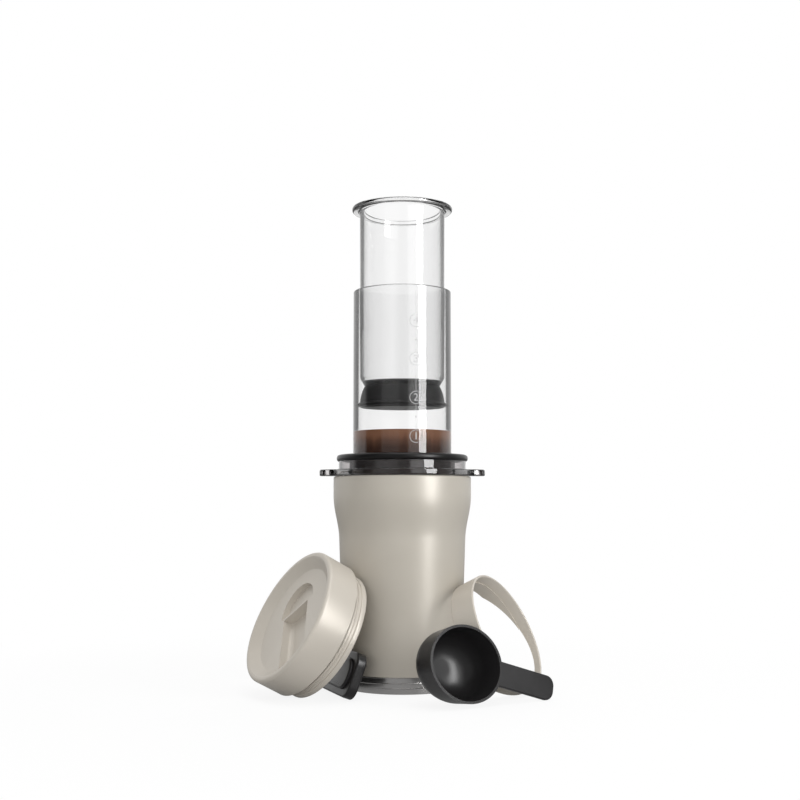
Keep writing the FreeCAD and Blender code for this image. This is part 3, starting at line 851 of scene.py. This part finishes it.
@dataclass
class Tumbler:
    """Coated double wall on a bare steel foot."""

    waist_radius: float = 41.9
    waist_height: float = 97.5
    neck_start: float = 126.0
    waist_ease: float = 10.0
    neck_ease: float = 11.0
    wall: float = 0.8
    rim_round: float = 1.2
    lip_reach: float = 2.65
    lip_round: float = 0.3
    foot_radius: float = 38.8
    curve_steps: int = 28
    band_wall: float = 1.2
    band_radius: float = 37.2
    foot_round: float = 0.35
    shoulder_height: float = 0.7
    shoulder_round: float = 0.2
    weld_gap: float = 0.05
    floor_low: float = 3.0
    floor_high: float = 4.2
    thread_rise: float = 3.2
    thread_height: float = 3.4
    thread_start: float = -116.0
    thread_turns: float = 1.6
    thread_size: float = 0.42

    def side(self, inset: float) -> List[Corner]:
        """Side of the wall from foot to neck.

        Args:
            inset: How far it lies inside the outer face.

        Returns:
            Its points as (radius, height).
        """
        foot = Vector((self.foot_radius - inset, box_of("tumbler_shell")[0].z))
        waist = Vector((self.waist_radius - inset, self.waist_height))
        neck = Vector((box_of("tumbler_shell")[1].x - inset, self.neck_start))
        pull = waist + (waist - foot).normalized() * self.waist_ease
        swell = curve_points(tuple(waist), tuple(pull), (neck.x, neck.y - self.neck_ease), tuple(neck),
                             self.curve_steps)
        return [tuple(foot)] + swell

    def shell(self) -> None:
        """Coated outer wall with its rolled lip."""
        rim = box_of("tumbler_shell")[1].z
        radius = box_of("tumbler_shell")[1].x
        lip = radius - self.lip_reach
        outline = self.side(0.0)
        outline += [(radius, rim, self.rim_round), (lip, rim, self.lip_round), (lip, rim - self.wall),
                    (radius - self.wall, rim - self.wall)]
        outline += reversed(self.side(self.wall))
        make_piece("tumbler_wall", spun(outline, closed=True), [POWDER_COAT], Body.TUMBLER, "tumbler_shell")

    def base(self) -> None:
        """Steel foot band with its floor."""
        inner = self.band_radius - self.band_wall
        shoulder = box_of("tumbler_base")[1].x
        shoulder_top = box_of("tumbler_shell")[0].z - self.weld_gap
        top = box_of("tumbler_base")[1].z
        outline = [
            (0.0, self.floor_low), (inner, self.floor_low), (inner, 0.0, self.foot_round),
            (self.band_radius, 0.0, self.foot_round),
            (self.band_radius, shoulder_top - self.shoulder_height),
            (shoulder, shoulder_top - self.shoulder_height, self.shoulder_round),
            (shoulder, shoulder_top, self.shoulder_round),
            (self.band_radius, shoulder_top), (self.band_radius, top), (inner, top),
            (inner, self.floor_high), (0.0, self.floor_high),
        ]
        make_piece("steel_foot", spun(outline), [BARE_STEEL], Body.TUMBLER, "tumbler_base")

    def thread(self) -> None:
        """Rolled thread round the foot band that the base ring screws on."""
        ridge = helix_ridge(self.band_radius, self.thread_height, self.thread_rise, self.thread_start,
                            self.thread_turns, self.thread_size)
        make_piece("steel_thread", ridge, [BARE_STEEL], Body.TUMBLER)

    def build(self) -> None:
        """Make every piece of the tumbler."""
        self.shell()
        self.base()
        self.thread()
        dressed_copy("liner_wall", "tumbler_liner", BARE_STEEL, Body.TUMBLER)
        dress_nodes(BARE_STEEL, ("vacuum_cap", "base_disc"))


def edged(shape: Shape) -> Shape:
    """Give the second finish to the outer side of a turned shape and the third to its rounded rim, where
    the callers put painted dark edges.

    Args:
        shape: Turned shape with its normals outwards.

    Returns:
        The same shape.
    """
    for face in shape.faces:
        middle = face.calc_center_median()
        outward = Vector((middle.x, middle.y, 0.0)).normalized()
        if face.normal.dot(outward) > SIDE_FACING and face.normal.z > -SIDE_FACING:
            face.material_index = 2 if face.normal.z > RIM_FACING else 1
    return shape


@dataclass
class LevelMarks:
    """Printed scale on the chamber: ringed numbers with dots between them on a thin line."""

    radius: float
    first: float = 163.2
    step: float = 25.1
    count: int = 4
    bearing: float = 15.6
    ring_radius: float = 4.25
    ring_line: float = 0.36
    ring_steps: int = 64
    dot_radius: float = 0.6
    dot_steps: int = 20
    line_width: float = 0.2
    line_top: float = 258.0
    digit_size: float = 6.8
    film: float = 0.03
    lift: float = 0.02
    weld: float = 0.0005

    def ring(self, shape: Shape, height: float) -> None:
        """Add one ring round a number.

        Args:
            shape: Flat print that takes it.
            height: Height of its middle.
        """
        made = bmesh.ops.create_circle(shape, cap_ends=False, segments=self.ring_steps,
                                       radius=self.ring_radius,
                                       matrix=Matrix.Translation((0.0, height, 0.0)))
        loop = list({edge for vert in made["verts"] for edge in vert.link_edges})
        grown = bmesh.ops.extrude_edge_only(shape, edges=loop)
        inner = [item for item in grown["geom"] if isinstance(item, bmesh.types.BMVert)]
        share = 1.0 - self.ring_line / self.ring_radius
        bmesh.ops.scale(shape, vec=(share, share, 1.0), verts=inner,
                        space=Matrix.Translation((0.0, -height, 0.0)))

    def dot(self, shape: Shape, height: float) -> None:
        """Add one dot between two numbers."""
        bmesh.ops.create_circle(shape, cap_ends=True, segments=self.dot_steps, radius=self.dot_radius,
                                matrix=Matrix.Translation((0.0, height, 0.0)))

    def line(self, shape: Shape, bottom: float, top: float) -> None:
        """Add one upright stretch of the thin line.

        Args:
            shape: Flat print that takes it.
            bottom: Height of its lower end.
            top: Height of its upper end.
        """
        size = Matrix.Diagonal((self.line_width, top - bottom, 1.0, 1.0))
        bmesh.ops.create_grid(shape, x_segments=1, y_segments=1, size=0.5,
                              matrix=Matrix.Translation((0.0, (bottom + top) / 2.0, 0.0)) @ size)

    def digit(self, shape: Shape, text: str, height: float) -> None:
        """Add one number.

        Args:
            shape: Flat print that takes it.
            text: The number.
            height: Height of its middle.
        """
        curve = bpy.data.curves.new("level_digit", "FONT")
        curve.body = text
        curve.size = self.digit_size
        curve.align_x = "CENTER"
        curve.align_y = "CENTER"
        add_curve(shape, curve, height)

    def wrap(self, shape: Shape) -> None:
        """Bend the flat print round the chamber and scale it to metres.

        Args:
            shape: The print, which is changed.
        """
        for vert in shape.verts:
            angle = math.radians(self.bearing) + vert.co.x / self.radius
            reach = self.radius + self.lift + vert.co.z
            vert.co = Vector((reach * math.sin(angle), -reach * math.cos(angle), vert.co.y))
        bmesh.ops.scale(shape, vec=(MM, MM, MM), verts=shape.verts)

    def build(self) -> None:
        """Make the whole scale as one piece."""
        shape = bmesh.new()
        heights = [self.first + self.step * index for index in range(self.count)]
        for index, height in enumerate(heights):
            self.ring(shape, height)
            self.digit(shape, str(index + 1), height)
            low = height + self.ring_radius
            if index + 1 < self.count:
                middle = height + self.step / 2.0
                self.dot(shape, middle)
                self.line(shape, low, middle - self.dot_radius)
                self.line(shape, middle + self.dot_radius, heights[index + 1] - self.ring_radius)
            else:
                self.line(shape, low, self.line_top)
        bmesh.ops.remove_doubles(shape, verts=shape.verts, dist=self.weld)
        bmesh.ops.recalc_face_normals(shape, faces=shape.faces)
        bmesh.ops.solidify(shape, geom=shape.faces[:], thickness=self.film)
        self.wrap(shape)
        bmesh.ops.recalc_face_normals(shape, faces=shape.faces)
        make_piece("level_marks", shape, [LEVEL_INK], Body.PRESS)


@dataclass
class Press:
    """Clear chamber in its eared collar, with the gasket, the strainer cap and the coffee in it."""

    wall: float = 2.7
    foot_step: float = 0.9
    foot_height: float = 1.0
    foot_round: float = 0.15
    lip_round: float = 0.9
    gasket_clearance: float = 0.5
    gasket_bead: float = 2.1
    gasket_foot_round: float = 0.4
    gasket_bore_round: float = 0.8
    coffee_gap: float = 0.05
    coffee_grip: float = 0.05
    coffee_up_facing: float = 0.5
    meniscus: float = 0.5
    meniscus_reach: float = 1.4
    meniscus_pull: Corner = (0.3, 0.1)
    meniscus_ease: float = 0.6
    meniscus_points: int = 6
    squeeze_end: float = 188.3

    @property
    def radius(self) -> float:
        """Outer radius of the chamber's wall."""
        return box_of("chamber_tube")[1].x - self.foot_step

    @property
    def bore(self) -> float:
        """Inner radius of the chamber's wall."""
        return self.radius - self.wall

    def chamber(self) -> None:
        """Clear wall with a stepped foot and a rounded lip."""
        low, high = box_of("chamber_tube")
        foot = low.z + self.foot_height
        outline = [
            (self.bore, low.z), (high.x, low.z, self.foot_round), (high.x, foot, self.foot_round),
            (self.radius, foot), (self.radius, high.z, self.lip_round), (self.bore, high.z, self.lip_round),
        ]
        # The outer side takes painted dark edges and the rounded rim a painted dark line.
        make_piece("chamber_wall", edged(spun(outline, closed=True)),
                   [CLEAR_PLASTIC, CLEAR_CHAMBER, CLEAR_RIM], Body.PRESS, "chamber_tube")

    def gasket(self) -> None:
        """Black ring with its rounded bead."""
        low, high = box_of("collar_gasket")
        bore = self.radius + self.gasket_clearance
        outline = [
            (bore, low.z, self.gasket_foot_round),
            (high.x, low.z, self.gasket_bead - self.gasket_foot_round),
            (high.x, high.z, self.gasket_bead), (bore, high.z, self.gasket_bore_round),
        ]
        make_piece("gasket_ring", spun(outline, closed=True), [BLACK_RUBBER], Body.PRESS, "collar_gasket")

    def coffee(self) -> None:
        """Coffee that stands on the paper."""
        bottom = box_of("paper_filter")[1].z + self.coffee_gap
        radius = self.bore + self.coffee_grip
        level = COFFEE_LEVEL
        inward, upward = self.meniscus_pull
        outline = [(0.0, bottom), (radius, bottom)]
        outline += curve_points((radius, level + self.meniscus), (radius - inward, level + upward),
                                (radius - self.meniscus_ease, level), (radius - self.meniscus_reach, level),
                                self.meniscus_points)
        outline += [(0.0, level)]
        shape = spun(outline)
        for face in shape.faces:
            face.material_index = int(face.normal.z > self.coffee_up_facing)
        brew = make_object("coffee", shape, [COFFEE, COFFEE_TOP])
        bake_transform(brew)

    def build(self) -> None:
        """Make every piece of the press but its plunger."""
        self.chamber()
        dressed_copy("collar_body", "chamber_collar", SMOKE_PLASTIC, Body.PRESS)
        self.gasket()
        dressed_copy("strainer_cap", "filter_cap", BLACK_PLASTIC, Body.CAP)
        dressed_copy("paper_disc", "paper_filter", FILTER_PAPER, Body.PRESS)
        self.coffee()
        LevelMarks(self.radius).build()


@dataclass
class Plunger:
    """Clear inner tube with its flange and the rubber seal on its nose."""

    top_radius: float = 28.75
    foot_radius: float = 28.1
    wall: float = 2.2
    floor: float = 3.0
    nose_radius: float = 25.0
    nose_height: float = 5.0
    nose_round: float = 4.0
    edge_round: float = 0.6
    bore_round: float = 2.5
    flange_thickness: float = 3.1
    flange_root: float = 1.5
    flange_round: float = 1.2
    stem_radius: float = 10.0
    stem_length: float = 3.0
    button_radius: float = 13.0
    button_length: float = 5.5
    mouth_ease: float = 1.2
    seal_height: float = 14.4
    body_radius: float = 28.2
    body_round: float = 1.8
    side_ease: float = 4.5
    side_points: int = 16
    lip_height: float = 1.6
    lip_drop: float = 11.9
    lip_flare: float = 1.4
    lip_round: float = 0.4
    lip_grip: float = 0.03
    snap: float = 0.1

    @property
    def foot(self) -> float:
        """Height of the tube's flat foot."""
        return box_of("plunger_tube")[0].z + self.stem_length + self.button_length

    def tube(self) -> None:
        """Clear tube from the button under its nose to the flange."""
        top = box_of("plunger_tube")[1].z
        flange = box_of("plunger_tube")[1].x
        foot = self.foot
        low = foot - self.stem_length
        flange_low = top - self.flange_thickness
        inner_top = self.top_radius - self.wall
        outline = [
            (0.0, low - self.button_length),
            (self.button_radius, low - self.button_length, self.edge_round),
            (self.button_radius, low, self.edge_round), (self.stem_radius, low), (self.stem_radius, foot),
            (self.nose_radius, foot, self.edge_round),
            (self.foot_radius, foot + self.nose_height, self.nose_round),
            (self.top_radius, flange_low, self.flange_root),
            (flange, flange_low, self.flange_round), (flange, top, self.flange_round),
            (inner_top + self.mouth_ease, top), (inner_top, top - self.mouth_ease),
            (self.foot_radius - self.wall, foot + self.floor, self.bore_round), (0.0, foot + self.floor),
        ]
        # The outer side and the rim take painted dark edges.
        make_piece("plunger_wall", edged(spun(outline)), [CLEAR_PLASTIC, CLEAR_PLUNGER, CLEAR_PLUNGER],
                   Body.PLUNGER, "plunger_tube")

    def seal(self, bore: float) -> None:
        """Rubber seal whose lip wipes the chamber's wall.

        Args:
            bore: Radius of the chamber's bore.
        """
        top = box_of("plunger_seal")[1].z
        bottom = top - self.seal_height
        lip = bore + self.lip_grip
        lip_top = top - self.lip_drop
        lip_bottom = lip_top - self.lip_height
        button_low = self.foot - self.stem_length - self.button_length - self.snap
        button_top = self.foot - self.stem_length + self.snap
        outline = [
            (0.0, button_low), (self.button_radius + self.snap, button_low),
            (self.button_radius + self.snap, button_top), (self.stem_radius + self.snap, button_top),
            (self.stem_radius + self.snap, top),
        ]
        outline += curve_points((self.nose_radius, top),
                                ((self.nose_radius + self.body_radius) / 2.0, top - self.side_ease / 2.0),
                                (self.body_radius, lip_top + self.side_ease),
                                (self.body_radius, lip_top + self.lip_flare), self.side_points)
        outline += [
            (lip, lip_top, self.lip_round), (lip, lip_bottom, self.lip_round),
            (self.body_radius, lip_bottom), (self.body_radius, bottom, self.body_round), (0.0, bottom),
        ]
        make_piece("wiper_seal", spun(outline), [BLACK_RUBBER], Body.PLUNGER, "plunger_seal")

    def build(self, bore: float) -> None:
        """Make the tube and the seal that wipes the chamber's bore."""
        self.tube()
        self.seal(bore)


@dataclass
class Lid:
    """Lid with its threaded neck; its own +Z looks at bearing from the viewer's side, raised by lean."""

    bearing: float = -61.3
    lean: float = 28.1
    disc_depth: float = 8.8
    thread_radius: float = 40.6
    thread_size: float = 0.36
    thread_level: float = -5.2
    thread_rise: float = 1.7
    thread_start: float = 150.0
    thread_turns: float = 1.6

    def turn(self) -> Matrix:
        """How the lid is turned.

        Returns:
            The matrix from its own directions to the world's.
        """
        azimuth = math.radians(self.bearing)
        rise = math.radians(self.lean)
        outward = Vector((math.cos(rise) * math.sin(azimuth), -math.cos(rise) * math.cos(azimuth),
                          math.sin(rise)))
        across = Vector((math.cos(azimuth), math.sin(azimuth), 0.0))
        return Matrix((across, outward.cross(across), outward)).transposed()

    def neck_thread(self) -> None:
        """Fine thread round the neck, behind the lid's shoulder."""
        low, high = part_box("lid_disc")
        turn = self.turn()
        origin = (low + high) / 2.0 + turn @ Vector((0.0, 0.0, self.disc_depth * MM))
        ridge = helix_ridge(self.thread_radius, self.thread_level, self.thread_rise, self.thread_start,
                            self.thread_turns, self.thread_size)
        bmesh.ops.transform(ridge, matrix=Matrix.Translation(origin) @ turn.to_4x4(), verts=ridge.verts)
        make_piece("neck_thread", ridge, [BEIGE_PLASTIC], Body.LID)

    def build(self) -> None:
        """Make every piece of the lid."""
        dressed_copy("lid_cover", "lid_cap", BEIGE_PLASTIC, Body.LID)
        dressed_copy("lid_neck", "lid_plug", BEIGE_PLASTIC, Body.LID)
        dressed_copy("lid_gasket", "lid_seal", SILICONE, Body.LID)
        dressed_copy("lid_floor", "lid_disc", BEIGE_PLASTIC, Body.LID)
        self.neck_thread()


@dataclass
class LoosePieces:
    """Base ring, scoop and filter case."""

    def build(self) -> None:
        """Make every loose piece."""
        dressed_copy("foot_hoop", "base_ring", BEIGE_PLASTIC, Body.RING)
        dressed_copy("coffee_scoop", "scoop", BLACK_PLASTIC, Body.SCOOP)
        dressed_copy("case_tray", "case_body", BLACK_PLASTIC, Body.CASE)
        dressed_copy("case_lid", "case_cover", BLACK_PLASTIC, Body.COVER)
        dress_nodes(FILTER_PAPER, ("filter_stack",))


class LightUse(Enum):
    """What a studio light adds to: the soft light, the gloss, or both."""

    SOFT = "soft"
    GLOSS = "gloss"
    BOTH = "both"


@dataclass(frozen=True)
class SoftBox:
    """Rectangular studio light, aimed at the object."""

    name: str
    bearing: float
    height: float
    distance: float
    width: float
    length: float
    power: float
    use: LightUse = LightUse.BOTH
    aim_height: float = 0.14

    def build(self) -> None:
        """Hang the light; bearing is from the viewer's side towards +X, lengths are metres."""
        lamp = bpy.data.lights.new(self.name, "AREA")
        lamp.shape = "RECTANGLE"
        lamp.size = self.width
        lamp.size_y = self.length
        lamp.energy = self.power
        holder = bpy.data.objects.new(self.name, lamp)
        angle = math.radians(self.bearing)
        place = Vector((self.distance * math.sin(angle), -self.distance * math.cos(angle), self.height))
        holder.location = place
        aim = Vector((0.0, 0.0, self.aim_height)) - place
        holder.rotation_euler = aim.to_track_quat("-Z", "Y").to_euler()
        holder.visible_camera = False
        holder.visible_transmission = False
        holder.visible_diffuse = self.use is not LightUse.GLOSS
        holder.visible_glossy = self.use is not LightUse.SOFT
        bpy.context.scene.collection.objects.link(holder)


@dataclass
class Studio:
    """White room, floor, lights and camera."""

    camera_place: Tuple[float, float, float] = (-0.0015, -0.8362, 0.1158)
    camera_rise: float = 5.03
    lens: float = 56.25
    sensor: float = 36.0
    floor_size: float = 4.0
    ambient: float = 0.50
    lights: Tuple[SoftBox, ...] = (
        SoftBox("strip_right", bearing=47.0, height=0.30, distance=0.72, width=0.235, length=0.62,
                power=6.2, use=LightUse.GLOSS),
        SoftBox("key_right", bearing=52.0, height=0.32, distance=1.1, width=0.5, length=0.5,
                power=4.6, use=LightUse.SOFT),
        SoftBox("fill_front", bearing=-8.0, height=0.16, distance=1.3, width=0.5, length=0.3,
                power=4.2, use=LightUse.SOFT),
        SoftBox("fill_back", bearing=170.0, height=0.5, distance=1.2, width=0.6, length=0.6,
                power=4.0, use=LightUse.SOFT),
        SoftBox("screen_top", bearing=10.0, height=1.15, distance=0.25, width=0.8, length=0.8,
                power=4.0),
    )
    mirror_levels: Tuple[Tuple[float, float], ...] = (
        (-180, 1.0), (-98, 1.0), (-89, 0.05), (-52, 0.05), (-46, 0.5), (-10, 0.5), (-4, 0.2), (12, 0.25),
        (17, 1.5), (37, 1.6), (60, 0.3), (95, 0.3), (110, 1.0),
    )
    wall_levels: Tuple[Tuple[float, float], ...] = (
        (-180, 0.14), (-90, 0.1), (-40, 0.45), (10, 0.3), (30, 1.0), (60, 0.3), (120, 0.22), (180, 0.26),
    )

    @staticmethod
    def room(graph: Graph, turn: Signal, levels: Sequence[Tuple[float, float]]) -> Signal:
        """Grey level of the room at a turn from 0 to 1, one half being the viewer's side."""
        stops = [((degrees + 180.0) / 360.0, (level, level, level)) for degrees, level in levels]
        return graph.node("ShaderNodeValToRGB", {"stops": stops}, {0: turn})

    def air(self) -> None:
        """White to the eye; mirrors see a room that is darker round the camera, with pale screens.

        Light that ran round inside a clear wall comes from a dark room, so that thick edges stand out.
        """
        world = bpy.data.worlds.new("studio_air")
        bpy.context.scene.world = world
        world.use_nodes = True
        graph = Graph(world.node_tree)
        across, along, _ = graph.split(graph.node("ShaderNodeTexCoord", output="Generated"))
        turn = across.arctan2(-along) * (0.5 / math.pi) + 0.5
        mirrored = self.room(graph, turn, self.mirror_levels)
        around = self.room(graph, turn, self.wall_levels)
        bounced = graph.node("ShaderNodeLightPath", output="Glossy Depth").at_most(1.0)
        through = graph.ray("Transmission")
        soft = graph.blend(graph.ray("Glossy"), (self.ambient,) * 3, mirrored)
        soft = graph.blend(through * bounced, soft, around)
        colour = graph.blend(graph.ray("Camera", "Transmission") * (1.0 - bounced), soft, (1.0, 1.0, 1.0))
        light = graph.node("ShaderNodeBackground", {}, {"Color": colour, "Strength": 1.0})
        graph.node_sink("ShaderNodeOutputWorld", light)

    def floor(self) -> None:
        """Wide floor under the object."""
        shape = bmesh.new()
        bmesh.ops.create_grid(shape, x_segments=1, y_segments=1, size=self.floor_size)
        floor = make_object("studio_floor", shape, [FLOOR])
        floor.active_material.cycles.emission_sampling = "NONE"

    def camera(self) -> None:
        """Camera at the photograph's viewing angle."""
        eye = bpy.data.cameras.new("camera")
        eye.lens = self.lens
        eye.sensor_width = self.sensor
        holder = bpy.data.objects.new("camera", eye)
        holder.location = self.camera_place
        holder.rotation_euler = (math.radians(90.0 + self.camera_rise), 0.0, 0.0)
        bpy.context.scene.collection.objects.link(holder)
        bpy.context.scene.camera = holder

    def build(self) -> None:
        """Set up the room."""
        bpy.context.scene.view_settings.view_transform = "Standard"
        self.air()
        self.floor()
        self.camera()
        for light in self.lights:
            light.build()


def main() -> None:
    """Build the studio and every sub-assembly in order."""
    logging.basicConfig(level=logging.INFO, format="%(name)s %(message)s")
    Studio().build()
    Tumbler().build()
    press = Press()
    press.build()
    Plunger().build(press.bore)
    Lid().build()
    LoosePieces().build()


if __name__ == "__main__":
    main()
